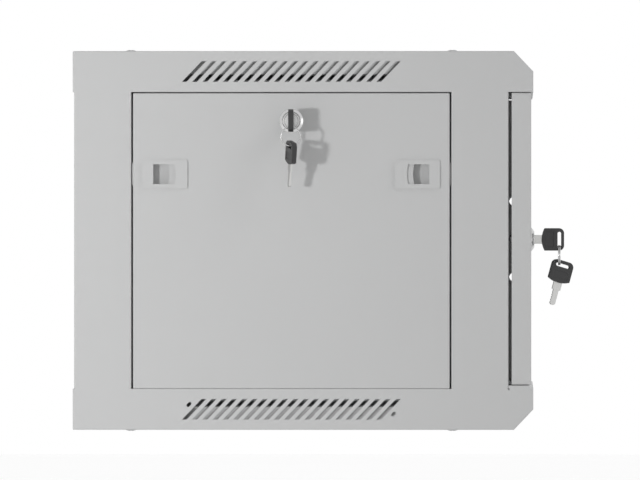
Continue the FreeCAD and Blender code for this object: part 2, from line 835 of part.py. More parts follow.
def lock_barrel():
    """Return the barrel with its keyway, its square end and the rivet that holds the cam."""
    front = -lock_head + 0.2
    core = rod(barrel_radius, cam_depth - front, V(0, front, 0), V(0, 1, 0))
    half = barrel_square / 2
    square = box(-half, half, cam_depth, cam_depth + cam_sheet, -half, half)
    rivet = rod(barrel_rivet_radius, barrel_rivet, V(0, cam_depth + cam_sheet, 0), V(0, 1, 0))
    gap = key_slot_clearance
    x, z = key_blade_thickness / 2 + gap, key_blade_height / 2 + gap
    keyway = box(-x, x, front - 1, key_blade_length + 1, -z, z)
    return fuse([core, square, rivet]).cut(keyway)


def lock_cam(rest_angle):
    """Return the cam on the barrel's square, turned from upright by its rest angle."""
    half = barrel_square / 2
    y = V(0, cam_depth, 0)
    arm = box(-cam_half_width, cam_half_width, cam_depth, cam_depth + cam_sheet, 0, cam_reach - cam_half_width)
    tip = rod(cam_half_width, cam_sheet, y + V(0, 0, cam_reach - cam_half_width), V(0, 1, 0))
    hub = rod(cam_half_width + 1.5, cam_sheet, y, V(0, 1, 0))
    hole = box(-half, half, cam_depth - 1, cam_depth + cam_sheet + 1, -half, half)
    return turned(fuse([arm, tip, hub]).cut(hole), V(0, 0, 0), V(0, -1, 0), rest_angle)


def key_metal():
    """Return the metal of a key: notched blade, shank and the root inside the bow."""
    t = key_blade_thickness / 2
    front = -lock_head
    blade = box(-t, t, front, key_blade_length, -key_blade_height / 2, key_blade_height / 2)
    step = key_blade_length / (key_notches + 1)
    tip = [e for e in blade.Edges if abs(e.CenterOfMass.y - key_blade_length) < 0.01 and abs(e.CenterOfMass.z) > 1]
    blade = blade.makeChamfer(key_tip_chamfer, tip)
    cuts = [rod(step / 4, 4, V(-2, step * (k + 0.5), key_blade_height / 2), V(1, 0, 0)) for k in range(key_notches)]
    shank = box(-t, t, front - key_shank_length - key_root, front, -key_shank_height / 2, key_shank_height / 2)
    return fuse([blade, shank]).cut(Part.makeCompound(cuts))


def bow_near():
    """Return where the bow starts, on the lock's axis."""
    return -lock_head - key_shank_length


def slot_far():
    """Return the end of the bow's slot that is farther from the lock."""
    return bow_near() - bow_size + bow_slot_from_end


def key_bow():
    """Return the moulded bow with its ring slot and its shallow recesses."""
    t, half, near = bow_thickness / 2, bow_size / 2, bow_near()
    far = near - bow_size
    corners = [V(-t, near - bow_shoulder, half), V(-t, far, half), V(-t, far, -half), V(-t, near - bow_shoulder, -half)]
    sides = [Part.LineSegment(a, b).toShape() for a, b in zip(corners, corners[1:])]
    arc = Part.Arc(corners[3], V(-t, near, 0), corners[0]).toShape()
    body = Part.Face(Part.Wire(sides + [arc])).extrude(V(bow_thickness, 0, 0))
    outer = [e for e in body.Edges if abs(e.CenterOfMass.y - far) < 0.01 and abs(abs(e.CenterOfMass.z) - half) < 0.01]
    body = body.makeFillet(bow_corner, outer)
    round_end = bow_slot_width / 2
    reach = bow_slot_height / 2 - round_end
    slot = box(-t - 1, t + 1, slot_far(), slot_far() + bow_slot_width, -reach, reach)
    ends = [rod(round_end, bow_thickness + 2, V(-t - 1, slot_far() + round_end, z), V(1, 0, 0)) for z in (-reach, reach)]
    start = slot_far() + bow_slot_width + bow_recess_from_slot
    depth_in = t - bow_recess_depth
    pockets = [box(s * depth_in, s * (t + 1), start, start + bow_recess_length, -bow_recess_height / 2,
                   bow_recess_height / 2) for s in (-1, 1)]
    return body.cut(fuse([slot] + ends)).cut(Part.makeCompound(pockets + [key_metal()]))


def ring_top():
    """Return the middle of the ring's wire where it hangs in the bow's slot."""
    return V(0, slot_far() + bow_slot_width / 2, -bow_slot_height / 2 + ring_wire_radius + ring_rest_gap)


def key_ring():
    """Return the ring that hangs in the bow's slot."""
    return Part.makeTorus(ring_radius, ring_wire_radius, ring_top() - V(0, 0, ring_radius), V(0, 1, 0))


def spare_pivot():
    """Return the middle of the ring's wire where the spare key hangs."""
    return ring_top() - V(0, 0, 2 * ring_radius)


def spare(shape, turn, tilt):
    """Return a key piece as the spare: blade down, its middle hanging below the ring's wire, turned aside."""
    upright = turned(shape, V(0, 0, 0), V(1, 0, 0), -90)
    skew = bow_thickness / 2 * math.tan(math.radians(turn)) * math.sin(math.radians(tilt))
    rise = -slot_far() - ring_wire_radius - ring_rest_gap - skew
    aside = spare_hang * math.tan(math.radians(tilt))
    upright.translate(spare_pivot() - V(0, aside, rise))
    tilted = turned(upright, spare_pivot(), V(1, 0, 0), tilt)
    return turned(tilted, spare_pivot(), V(0, 0, 1), turn)


def lock_set(prefix, centre, on_side, sheet, cam_rest):
    """Return the pieces of one lock in their places, by name."""
    pieces = {
        "lock_body": lock_body(), "lock_nut": lock_nut_piece(sheet),
        "lock_barrel": lock_barrel(), "lock_cam": lock_cam(cam_rest),
    }
    return {prefix + name: placed(shape, centre, on_side) for name, shape in pieces.items()}


def key_set(prefix, centre, on_side, turn, tilt):
    """Return the keys and the ring of one lock in their places, by name."""
    pieces = {
        "key_blade": key_metal(), "key_bow": key_bow(), "key_ring": key_ring(),
        "spare_blade": spare(key_metal(), turn, tilt), "spare_bow": spare(key_bow(), turn, tilt),
    }
    return {prefix + name: placed(shape, centre, on_side) for name, shape in pieces.items()}


def left_panel_set():
    """Return the pieces of the left panel without its keys, by name."""
    rear_housing, rear_slider = latch_housing(), latch_slider()
    pieces = {
        "panel": panel(), "latch_housings": Part.makeCompound([rear_housing, to_front(rear_housing)]),
        "rear_latch": rear_slider, "front_latch": to_front(rear_slider),
    }
    return {**pieces, **lock_set("", side_lock_centre(), True, panel_sheet, -90)}


def frame_set():
    """Return the pieces of the frame, by name."""
    roof, bar, cover = cap(vent_lean), depth_bar(), entry_cover()
    front_rail, rear_rail = rail(front_rail_y, 1), rail(rear_rail_y, -1)
    return {
        "roof_cap": roof, "base_cap": base(),
        "left_rear_post": rear_post(), "right_rear_post": mirror_x(rear_post()),
        "left_front_post": front_post(), "right_front_post": mirror_x(front_post()),
        "left_roof_bar": bar, "right_roof_bar": mirror_x(bar),
        "left_base_bar": mirror_z(bar), "right_base_bar": mirror_z(mirror_x(bar)),
        "left_front_rail": front_rail, "right_front_rail": mirror_x(front_rail),
        "left_rear_rail": rear_rail, "right_rear_rail": mirror_x(rear_rail),
        "back_panel": back_panel(), "roof_entry_cover": cover, "base_entry_cover": mirror_z(cover),
        "roof_screws": roof_screws(), "back_screws": back_screws(), "rail_bolts": rail_bolts(),
        "cover_screws": cover_screws(), "earth_stud": earth_stud(),
    }


def door_set():
    """Return the pieces of the door, by name."""
    pieces = {
        "door_frame": door_frame(), "door_glass": door_glass(), "glass_gasket": glass_gasket(),
        "glass_clips": glass_clips(), "door_pins": Part.makeCompound([hinge_pin(1), hinge_pin(-1)]),
    }
    centre = door_lock_centre()
    keys = key_set("door_", centre, False, spare_turn_door, spare_tilt_door)
    return {**pieces, **lock_set("door_", centre, False, door_sheet, 0), **keys}


def cabinet():
    """Return every piece of the cabinet, by name."""
    left = left_panel_set()
    pieces = {**frame_set(), **door_set()}
    pieces.update({"left_" + name: shape for name, shape in left.items()})
    pieces.update({"right_" + name: mirror_x(shape) for name, shape in left.items()})
    pieces.update(key_set("left_", side_lock_centre(), True, spare_turn_side, spare_tilt_side))
    return pieces


for name, shape in cabinet().items():
    shape.exportStep("parts/" + name + ".step")
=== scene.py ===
"""Looks of the wall mount network cabinet.

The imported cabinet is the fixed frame. This script gives its sheet metal, glass and mouldings their finish, adds
the turned, threaded and wound pieces that the frame holds as plain solids, and sets up a pale studio with the
camera facing the left side. Everything is in metres, in the cabinet's own frame: X across the width, Y = 0 at the
wall, the front at minus Y, Z up.
"""
from __future__ import annotations

import json
import logging
import math
from dataclasses import dataclass
from enum import Enum

import bmesh
import bpy
import numpy as np
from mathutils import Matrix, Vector

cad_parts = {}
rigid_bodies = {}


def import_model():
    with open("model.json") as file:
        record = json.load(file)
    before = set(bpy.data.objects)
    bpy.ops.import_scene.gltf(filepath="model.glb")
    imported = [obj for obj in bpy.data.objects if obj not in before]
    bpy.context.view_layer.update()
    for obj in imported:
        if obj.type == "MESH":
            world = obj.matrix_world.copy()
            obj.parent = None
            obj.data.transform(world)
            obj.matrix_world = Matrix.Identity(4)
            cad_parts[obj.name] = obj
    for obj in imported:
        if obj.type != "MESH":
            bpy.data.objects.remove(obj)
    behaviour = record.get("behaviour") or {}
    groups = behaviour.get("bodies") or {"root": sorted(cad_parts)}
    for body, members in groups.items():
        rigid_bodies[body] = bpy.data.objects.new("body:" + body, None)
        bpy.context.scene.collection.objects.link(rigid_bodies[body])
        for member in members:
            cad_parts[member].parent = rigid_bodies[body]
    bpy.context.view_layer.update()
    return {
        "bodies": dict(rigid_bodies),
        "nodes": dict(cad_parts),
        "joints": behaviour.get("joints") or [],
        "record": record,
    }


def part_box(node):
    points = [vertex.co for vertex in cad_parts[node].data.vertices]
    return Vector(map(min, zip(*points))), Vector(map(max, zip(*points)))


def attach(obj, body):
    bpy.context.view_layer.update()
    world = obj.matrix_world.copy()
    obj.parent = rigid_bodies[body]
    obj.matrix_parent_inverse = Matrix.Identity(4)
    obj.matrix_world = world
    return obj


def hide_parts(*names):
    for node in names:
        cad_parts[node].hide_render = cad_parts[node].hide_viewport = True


LOG = logging.getLogger("cabinet")
MM = 0.001
NOISE_MEAN = 0.5
Colour = tuple[float, float, float]


class Side(Enum):
    """The two long sides of the cabinet."""

    LEFT = -1
    RIGHT = 1

    @property
    def prefix(self) -> str:
        """Return the word that the names of this side's nodes start with."""
        return self.name.lower() + "_"


# Shader node groups shared by the finishes

SURFACE_OUTPUTS = {"Colour": "NodeSocketColor", "Roughness": "NodeSocketFloat", "Normal": "NodeSocketVector"}


def new_group(name: str, inputs: dict[str, float | Colour], outputs: dict[str, str]) -> tuple:
    """Start a shader node group with named sockets.

    Args:
        name: the group's name.
        inputs: default value of each input; a triple makes a colour, a number a float.
        outputs: socket type of each output.

    Returns:
        The group with its input and output nodes.
    """
    group = bpy.data.node_groups.new(name, "ShaderNodeTree")
    for label, value in inputs.items():
        kind = "NodeSocketColor" if isinstance(value, tuple) else "NodeSocketFloat"
        socket = group.interface.new_socket(label, in_out="INPUT", socket_type=kind)
        socket.default_value = (*value, 1.0) if isinstance(value, tuple) else value
    for label, kind in outputs.items():
        group.interface.new_socket(label, in_out="OUTPUT", socket_type=kind)
    return group, group.nodes.new("NodeGroupInput"), group.nodes.new("NodeGroupOutput")


def math_node(tree: bpy.types.NodeTree, operation: str, *values: object) -> bpy.types.NodeSocket:
    """Add a Math node.

    Args:
        tree: the node tree to add to.
        operation: the operation's name.
        values: numbers, or sockets to link, in the order of the inputs.

    Returns:
        The node's output.
    """
    node = tree.nodes.new("ShaderNodeMath")
    node.operation = operation
    for index, value in enumerate(values):
        if isinstance(value, (int, float)):
            node.inputs[index].default_value = value
        else:
            tree.links.new(value, node.inputs[index])
    return node.outputs[0]


def noise(tree: bpy.types.NodeTree, vector: bpy.types.NodeSocket, scale: object,
          detail: float) -> bpy.types.NodeSocket:
    """Add a Noise Texture over a vector.

    Args:
        tree: the node tree to add to.
        vector: where the texture is read.
        scale: waves per metre, a number or a socket.
        detail: octaves.

    Returns:
        Its value, from 0 to 1.
    """
    node = tree.nodes.new("ShaderNodeTexNoise")
    node.inputs["Detail"].default_value = detail
    tree.links.new(vector, node.inputs["Vector"])
    if isinstance(scale, (int, float)):
        node.inputs["Scale"].default_value = scale
    else:
        tree.links.new(scale, node.inputs["Scale"])
    return node.outputs["Fac"]


def swing(tree: bpy.types.NodeTree, vector: bpy.types.NodeSocket, scale: object,
          detail: float) -> bpy.types.NodeSocket:
    """Add a noise that swings to both sides of zero.

    Args:
        tree: the node tree to add to.
        vector: where the texture is read.
        scale: waves per metre, a number or a socket.
        detail: octaves.

    Returns:
        Its value, from -0.5 to 0.5.
    """
    return math_node(tree, "SUBTRACT", noise(tree, vector, scale, detail), NOISE_MEAN)


def shade_by(tree: bpy.types.NodeTree, colour: bpy.types.NodeSocket,
             factor: bpy.types.NodeSocket) -> bpy.types.NodeSocket:
    """Multiply a colour by a factor.

    Args:
        tree: the node tree to add to.
        colour: the colour to change.
        factor: the number that scales it.

    Returns:
        The new colour's socket.
    """
    node = tree.nodes.new("ShaderNodeVectorMath")
    node.operation = "SCALE"
    tree.links.new(colour, node.inputs[0])
    tree.links.new(factor, node.inputs["Scale"])
    return node.outputs["Vector"]


def close_group(group: tuple, tint: bpy.types.NodeSocket, rough: bpy.types.NodeSocket,
                height: bpy.types.NodeSocket, distance: str) -> bpy.types.NodeTree:
    """Link a group's three outputs.

    Args:
        group: the group's tree with its input and output nodes.
        tint: factor on the input Colour.
        rough: the roughness.
        height: height of the surface, in multiples of the distance.
        distance: name of the input that says how many metres a height of 1 stands for.

    Returns:
        The group's tree.
    """
    tree, source, result = group
    tree.links.new(shade_by(tree, source.outputs["Colour"], tint), result.inputs["Colour"])
    tree.links.new(rough, result.inputs["Roughness"])
    bump = tree.nodes.new("ShaderNodeBump")
    tree.links.new(height, bump.inputs["Height"])
    tree.links.new(source.outputs[distance], bump.inputs["Distance"])
    tree.links.new(bump.outputs["Normal"], result.inputs["Normal"])
    return tree


def coat_grain_group() -> bpy.types.NodeTree:
    """Build the grain of a sprayed or moulded surface.

    Colour = base x (1 + mottle x slow noise + speckle x fine noise). Roughness = base + a little of both noises.
    Height = orange peel noise + half of a finer noise, through a Bump node.

    Returns:
        The group's tree.
    """
    slow_waves, fine_to_grain = 7.0, 3.1
    rough_by_slow, rough_by_fine, height_by_fine = 0.10, 0.12, 0.5
    inputs = {"Colour": (0.6, 0.6, 0.6), "Mottle": 0.03, "Speckle": 0.03, "Roughness": 0.5,
              "Grain": 900.0, "Height": 0.00002}
    group = new_group("coat_grain", inputs, SURFACE_OUTPUTS)
    tree, source = group[:2]
    place = tree.nodes.new("ShaderNodeTexCoord").outputs["Object"]
    slow = swing(tree, place, slow_waves, detail=3.0)
    peel = noise(tree, place, source.outputs["Grain"], detail=2.0)
    fine_scale = math_node(tree, "MULTIPLY", source.outputs["Grain"], fine_to_grain)
    fine = swing(tree, place, fine_scale, detail=1.0)
    tint = math_node(tree, "MULTIPLY_ADD", slow, source.outputs["Mottle"], 1.0)
    tint = math_node(tree, "MULTIPLY_ADD", fine, source.outputs["Speckle"], tint)
    rough = math_node(tree, "MULTIPLY_ADD", slow, rough_by_slow, source.outputs["Roughness"])
    rough = math_node(tree, "MULTIPLY_ADD", fine, rough_by_fine, rough)
    height = math_node(tree, "MULTIPLY_ADD", fine, height_by_fine, peel)
    return close_group(group, tint, rough, height, "Height")


def brushed_group() -> bpy.types.NodeTree:
    """Build the fine lines of ground, drawn or plated metal.

    The noise is read at (Lines x, Lines y, Lines x Stretch z), so its waves are short along X and Y and long along
    Z. Colour, roughness and Bump follow these lines, and a coarser cloud changes colour and roughness too.

    Returns:
        The group's tree.
    """
    cloud_waves, tint_by_lines, rough_by_lines, rough_by_cloud = 90.0, 0.16, 0.18, 0.12
    inputs = {"Colour": (0.6, 0.6, 0.6), "Roughness": 0.3, "Lines": 4000.0, "Stretch": 0.03, "Depth": 0.000004,
              "Cloud": 0.06}
    group = new_group("brushed_lines", inputs, SURFACE_OUTPUTS)
    tree, source = group[:2]
    place = tree.nodes.new("ShaderNodeTexCoord").outputs["Object"]
    axes = tree.nodes.new("ShaderNodeCombineXYZ")
    tree.links.new(source.outputs["Lines"], axes.inputs["X"])
    tree.links.new(source.outputs["Lines"], axes.inputs["Y"])
    along = math_node(tree, "MULTIPLY", source.outputs["Lines"], source.outputs["Stretch"])
    tree.links.new(along, axes.inputs["Z"])
    scaled = tree.nodes.new("ShaderNodeVectorMath")
    scaled.operation = "MULTIPLY"
    tree.links.new(place, scaled.inputs[0])
    tree.links.new(axes.outputs["Vector"], scaled.inputs[1])
    lines = swing(tree, scaled.outputs["Vector"], 1.0, detail=2.0)
    cloud = swing(tree, place, cloud_waves, detail=3.0)
    tint = math_node(tree, "MULTIPLY_ADD", lines, tint_by_lines, 1.0)
    tint = math_node(tree, "MULTIPLY_ADD", cloud, source.outputs["Cloud"], tint)
    rough = math_node(tree, "MULTIPLY_ADD", lines, rough_by_lines, source.outputs["Roughness"])
    rough = math_node(tree, "MULTIPLY_ADD", cloud, rough_by_cloud, rough)
    return close_group(group, tint, rough, lines, "Depth")


@dataclass(frozen=True)
class GroupLibrary:
    """The shader node groups, built once and shared by all finishes."""

    coat: bpy.types.NodeTree
    brushed: bpy.types.NodeTree

    @classmethod
    def build(cls) -> GroupLibrary:
        """Build every group and return the library."""
        return cls(coat_grain_group(), brushed_group())


# Finishes


def blank_material(name: str) -> tuple[bpy.types.Material, bpy.types.ShaderNodeBsdfPrincipled]:
    """Start a material.

    Args:
        name: the material's name.

    Returns:
        The material and its Principled BSDF.
    """
    material = bpy.data.materials.new(name)
    material.use_nodes = True
    return material, material.node_tree.nodes["Principled BSDF"]


def add_group(material: bpy.types.Material, shader: bpy.types.Node, group: bpy.types.NodeTree,
              values: dict[str, float | Colour]) -> None:
    """Place a group in a material, set its inputs and link its outputs to the shader.

    Args:
        material: the material to add to.
        shader: its Principled BSDF.
        group: the node group, with outputs Colour, Roughness and Normal.
        values: the group's input values.
    """
    tree = material.node_tree
    node = tree.nodes.new("ShaderNodeGroup")
    node.node_tree = group
    for label, value in values.items():
        node.inputs[label].default_value = (*value, 1.0) if isinstance(value, tuple) else value
    tree.links.new(node.outputs["Colour"], shader.inputs["Base Color"])
    tree.links.new(node.outputs["Roughness"], shader.inputs["Roughness"])
    tree.links.new(node.outputs["Normal"], shader.inputs["Normal"])


@dataclass(frozen=True)
class Coat:
    """A sprayed powder coat or a grained moulding."""

    name: str
    colour: Colour
    roughness: float = 0.5
    mottle: float = 0.03
    speckle: float = 0.05
    grain: float = 900.0
    height_mm: float = 0.02
    specular: float = 0.35

    def material(self, groups: GroupLibrary) -> bpy.types.Material:
        """Build the material.

        Args:
            groups: the shared node groups.

        Returns:
            The finish as a material.
        """
        material, shader = blank_material(self.name)
        add_group(material, shader, groups.coat, {
            "Colour": self.colour, "Roughness": self.roughness, "Mottle": self.mottle,
            "Speckle": self.speckle, "Grain": self.grain, "Height": self.height_mm * MM})
        shader.inputs["Specular IOR Level"].default_value = self.specular
        return material


@dataclass(frozen=True)
class Metal:
    """A plated or ground metal with fine lines."""

    name: str
    colour: Colour
    roughness: float = 0.3
    lines: float = 4000.0
    stretch: float = 0.03
    cloud: float = 0.06

    def material(self, groups: GroupLibrary) -> bpy.types.Material:
        """Build the material.

        Args:
            groups: the shared node groups.

        Returns:
            The finish as a material.
        """
        material, shader = blank_material(self.name)
        add_group(material, shader, groups.brushed, {
            "Colour": self.colour, "Roughness": self.roughness, "Lines": self.lines,
            "Stretch": self.stretch, "Cloud": self.cloud})
        shader.inputs["Metallic"].default_value = 1.0
        return material


@dataclass(frozen=True)
class SmokedGlass:
    """Toughened glass with a light smoke tint and faint waviness.

    Light falls through it to what is behind: for shadow rays its alpha is 1 - clear.
    """

    name: str
    colour: Colour
    roughness: float = 0.03
    clear: float = 0.8
    index: float = 1.5
    wave_height: float = 0.02 * MM
    waves: float = 14.0
    haze_waves: float = 60.0

    def material(self, groups: GroupLibrary) -> bpy.types.Material:
        """Build the material.

        Args:
            groups: the shared node groups.

        Returns:
            The finish as a material.
        """
        material, shader = blank_material(self.name)
        tree = material.node_tree
        place = tree.nodes.new("ShaderNodeTexCoord").outputs["Object"]
        bump = tree.nodes.new("ShaderNodeBump")
        bump.inputs["Distance"].default_value = self.wave_height
        tree.links.new(noise(tree, place, self.waves, detail=1.0), bump.inputs["Height"])
        tree.links.new(bump.outputs["Normal"], shader.inputs["Normal"])
        smear = noise(tree, place, self.haze_waves, detail=4.0)
        haze = math_node(tree, "MULTIPLY", smear, self.roughness / NOISE_MEAN)
        tree.links.new(haze, shader.inputs["Roughness"])
        path = tree.nodes.new("ShaderNodeLightPath")
        solid = math_node(tree, "MULTIPLY_ADD", path.outputs["Is Shadow Ray"], -self.clear, 1.0)
        tree.links.new(solid, shader.inputs["Alpha"])
        shader.inputs["Base Color"].default_value = (*self.colour, 1.0)
        shader.inputs["Transmission Weight"].default_value = 1.0
        shader.inputs["IOR"].default_value = self.index
        return material


@dataclass(frozen=True)
class Finishes:
    """Every finish of the cabinet."""

    coat: Coat = Coat("light_grey_powder_coat", (0.585, 0.588, 0.588))
    screw_coat: Coat = Coat("screw_coat_grey", (0.52, 0.523, 0.525), roughness=0.38, grain=2000.0, height_mm=0.006)
    # The bars' coat is a paler copy of the grey coat. The extra lightness is painted light that stands in for light
    # reaching the bars through the vent slots.
    bar_coat: Coat = Coat("bar_pale_coat", (0.72, 0.725, 0.725), roughness=0.45, grain=1300.0)
    rail_coat: Coat = Coat("rail_grey_coat", (0.47, 0.475, 0.48), roughness=0.42, grain=1300.0)
    latch: Coat = Coat("latch_moulding", (0.585, 0.588, 0.588), roughness=0.44, mottle=0.015, speckle=0.03,
                       grain=2600.0, height_mm=0.008)
    latch_slide: Coat = Coat("latch_slider_moulding", (0.560, 0.563, 0.563), roughness=0.4, mottle=0.015,
                             speckle=0.03, grain=2600.0, height_mm=0.008)
    key_black: Coat = Coat("key_moulding_black", (0.014, 0.014, 0.0145), roughness=0.38, mottle=0.1, speckle=0.25,
                           grain=3200.0, height_mm=0.010, specular=0.6)
    foam: Coat = Coat("foam_rubber", (0.028, 0.028, 0.028), roughness=0.9, mottle=0.15, speckle=0.6, grain=2200.0,
                      height_mm=0.12, specular=0.2)
    zinc: Metal = Metal("zinc_plating", (0.60, 0.61, 0.64), roughness=0.36, cloud=0.16)
    nickel: Metal = Metal("nickel_plating", (0.66, 0.66, 0.65), roughness=0.28)
    case: Metal = Metal("lock_case_satin", (0.56, 0.56, 0.56), roughness=0.20, lines=3000.0, stretch=1.0)
    core: Metal = Metal("lock_barrel_satin", (0.62, 0.62, 0.62), roughness=0.26, lines=5200.0)
    wire: Metal = Metal("ring_wire", (0.50, 0.50, 0.50), roughness=0.20, lines=6000.0)
    blade: Metal = Metal("key_blade_nickel", (0.56, 0.56, 0.55), roughness=0.34, lines=5000.0, cloud=0.03)
    glass: SmokedGlass = SmokedGlass("safety_glass", (0.70, 0.72, 0.73))


# Surfaces


@dataclass(frozen=True)
class Seat:
    """A place that a turned piece sits on: its middle, the way out of the sheet and the way up."""

    origin: tuple[float, float, float]
    out: tuple[float, float, float]
    up: tuple[float, float, float] = (0.0, 0.0, 1.0)

    def place(self, local: np.ndarray) -> np.ndarray:
        """Carry points given as (side, up, out) to the piece's place, with side = up x out.

        Args:
            local: points of any grid shape, three numbers each.

        Returns:
            The points in the cabinet's frame, in the same grid shape.
        """
        out, up = np.array(self.out, float), np.array(self.up, float)
        return np.array(self.origin, float) + local @ np.stack([np.cross(up, out), up, out])


class Shell:
    """Collects grids of points and joins them into one mesh whose faces point outwards."""

    def __init__(self) -> None:
        """Start with no points."""
        self.points: list[np.ndarray] = []
        self.faces: list[list[int]] = []
        self.count = 0

    def add(self, grid: np.ndarray, closed: bool = False) -> None:
        """Add a grid that is round along its columns.

        Quad (i, j) joins row i to row i + 1 and column j to the next one, and the last column to the first. Open
        grids get a fan at both ends, closed ones join the last row to the first. The sum of the corner products
        a . (b x c) over all triangles is six times the volume, and a negative one turns every face round.

        Args:
            grid: rows x columns x 3 points.
            closed: True if the rows close on themselves, as on a ring.
        """
        rows, columns = grid.shape[:2]
        index = np.arange(rows * columns).reshape(rows, columns)
        index = np.concatenate([index, index[:, :1]], axis=1)
        points = grid.reshape(-1, 3)
        if closed:
            index = np.concatenate([index, index[:1]], axis=0)
        quads = np.stack([index[:-1, :-1], index[:-1, 1:], index[1:, 1:], index[1:, :-1]], axis=-1).reshape(-1, 4)
        fans = np.zeros((0, 3), int)
        if not closed:
            middles = np.stack([grid[0].mean(axis=0), grid[-1].mean(axis=0)])
            start, end = np.full(columns, len(points)), np.full(columns, len(points) + 1)
            fans = np.concatenate([np.stack([index[0, 1:], index[0, :-1], start], axis=-1),
                                   np.stack([index[-1, :-1], index[-1, 1:], end], axis=-1)])
            points = np.concatenate([points, middles])
        triangles = np.concatenate([quads[:, :3], quads[:, [0, 2, 3]], fans])
        a, b, c = (points[triangles[:, k]] for k in range(3))
        if np.einsum("ij,ij->", a - points[0], np.cross(b - points[0], c - points[0])) < 0:
            quads, fans = quads[:, ::-1], fans[:, ::-1]
        self.faces += (quads + self.count).tolist() + (fans + self.count).tolist()
        self.points.append(points)
        self.count += len(points)

    def piece(self, name: str, material: bpy.types.Material, sharp_degrees: float = 40.0) -> bpy.types.Object:
        """Make the object, smooth except along its sharp edges.

        Args:
            name: the object's name.
            material: its finish.
            sharp_degrees: edges that turn by more than this stay sharp.

        Returns:
            The new object, linked to the scene.
        """
        mesh = bpy.data.meshes.new(name)
        mesh.from_pydata(np.concatenate(self.points).tolist(), [], self.faces)
        mesh.shade_smooth()
        mesh.set_sharp_from_angle(angle=math.radians(sharp_degrees))
        mesh.materials.append(material)
        piece = bpy.data.objects.new(name, mesh)
        bpy.context.scene.collection.objects.link(piece)
        return piece


def around(columns: int) -> np.ndarray:
    """Return the angles of the columns of a full turn."""
    return np.arange(columns) * (2 * math.pi / columns)


def turned_grid(profile: np.ndarray, columns: int) -> np.ndarray:
    """Carry a profile of (radius, height) round its axis: point = (r cos a, r sin a, h).

    Args:
        profile: rows of radius and height.
        columns: points in a full turn.

    Returns:
        A grid of rows x columns points.
    """
    angle = around(columns)
    radius, height = profile[:, :1], profile[:, 1:]
    return np.stack([radius * np.cos(angle), radius * np.sin(angle), height + 0 * angle], axis=-1)


def rounded_profile(corners: list[tuple[float, float]], steps: int = 5) -> np.ndarray:
    """Round a profile: a quadratic curve takes the place of each inner corner.

    The curve over a corner c from point p to point q is (1 - t)^2 p + 2 t (1 - t) c + t^2 q. p and q lie a fifth of
    the way into the sides, so straight runs stay straight.

    Args:
        corners: radius and height of each corner.
        steps: points on each curve.

    Returns:
        Rows of radius and height.
    """
    into_side = 0.2
    line = np.array(corners, float)
    before, corner, after = line[:-2], line[1:-1], line[2:]
    p, q = corner + (before - corner) * into_side, corner + (after - corner) * into_side
    t = np.linspace(0, 1, steps)[None, :, None]
    curve = (1 - t) ** 2 * p[:, None] + 2 * t * (1 - t) * corner[:, None] + t ** 2 * q[:, None]
    return np.concatenate([line[:1], curve.reshape(-1, 2), line[-1:]])


def thread_grid(radius: float, depth: float, pitch: float, start: float, end: float, columns: int) -> np.ndarray:
    """Wind a thread: radius = r - depth x |2 frac(h / pitch - a / full turn) - 1|, faded out at both ends.

    Args:
        radius: the outer radius.
        depth: from crest to root.
        pitch: rise of one turn.
        start: height of the first row.
        end: height of the last row.
        columns: points in a full turn.

    Returns:
        A grid of rows x columns points.
    """
    fewest_rows, rows_per_turn = 4, 6
    rows = max(fewest_rows, int(abs(end - start) / pitch * rows_per_turn))
    angle = around(columns)
    height = np.linspace(start, end, rows)[:, None]
    phase = np.mod(height / pitch - angle / (2 * math.pi), 1.0)
    fade = np.clip(np.minimum(height - min(start, end), max(start, end) - height) / pitch, 0, 1)
    r = radius - depth * (np.abs(2 * phase - 1) * fade + (1 - fade))
    return np.stack([r * np.cos(angle), r * np.sin(angle), height + 0 * angle], axis=-1)


def hexagon_grid(flat: float, start: float, end: float) -> np.ndarray:
    """Cut a hexagon head or nut: radius = the smaller of flat / cos(angle from the nearest flat) and a cone.

    The rows lie at shares of the height, and the cone's radius on each row is a multiple of the half size. It bevels
    the corners at both ends and closes to half the size there.

    Args:
        flat: half the size across the flats.
        start: height of the seat.
        end: height of the top.

    Returns:
        A grid of rows x columns points.
    """
    columns, half_side = 72, math.pi / 6
    angle = around(columns)
    reach = flat / np.cos(np.mod(angle + half_side, 2 * half_side) - half_side)
    share = np.array([0.0, 0.0, 0.08, 0.5, 0.9, 1.0, 1.0])[:, None]
    cone = flat * np.array([0.5, 1.02, 1.155, 1.155, 1.155, 1.0, 0.5])[:, None]
    r = np.minimum(reach, cone)
    return np.stack([r * np.cos(angle), r * np.sin(angle), start + (end - start) * share + 0 * angle], axis=-1)


def cross_dome_grid(radius: float, rise: float, cross: float) -> np.ndarray:
    """Press a dome head with a cross recess.

    Height = rise (1 - (r / radius)^2) - depth x arm, where arm is 1 inside either bar of the cross and falls to 0
    over a sloped wall: arm = clip((width - the smaller of |x|, |y|) / wall) x clip((cross - the larger) / wall).

    Args:
        radius: the head's radius.
        rise: its height in the middle.
        cross: half the length of the cross.

    Returns:
        A grid of rows x columns points, from the middle out and down to the foot.
    """
    columns, sink = 96, 0.02 * MM
    wall_share, width_share, depth_share = 0.22, 0.34, 0.75
    share = np.concatenate([np.linspace(0.02, 0.62, 26), np.linspace(0.66, 1.0, 9)])[:, None]
    angle = around(columns)
    x, y = radius * share * np.cos(angle), radius * share * np.sin(angle)
    small, large = np.minimum(np.abs(x), np.abs(y)), np.maximum(np.abs(x), np.abs(y))
    wall = cross * wall_share
    arm = np.clip((cross * width_share - small) / wall, 0, 1) * np.clip((cross - large) / wall, 0, 1)
    height = rise * (1 - share ** 2) - arm * rise * depth_share + 0 * angle
    top = np.stack([x, y, height], axis=-1)
    foot = top[-1:] * np.array([1.0, 1.0, 0.0]) + np.array([0.0, 0.0, -sink])
    return np.concatenate([top, foot])


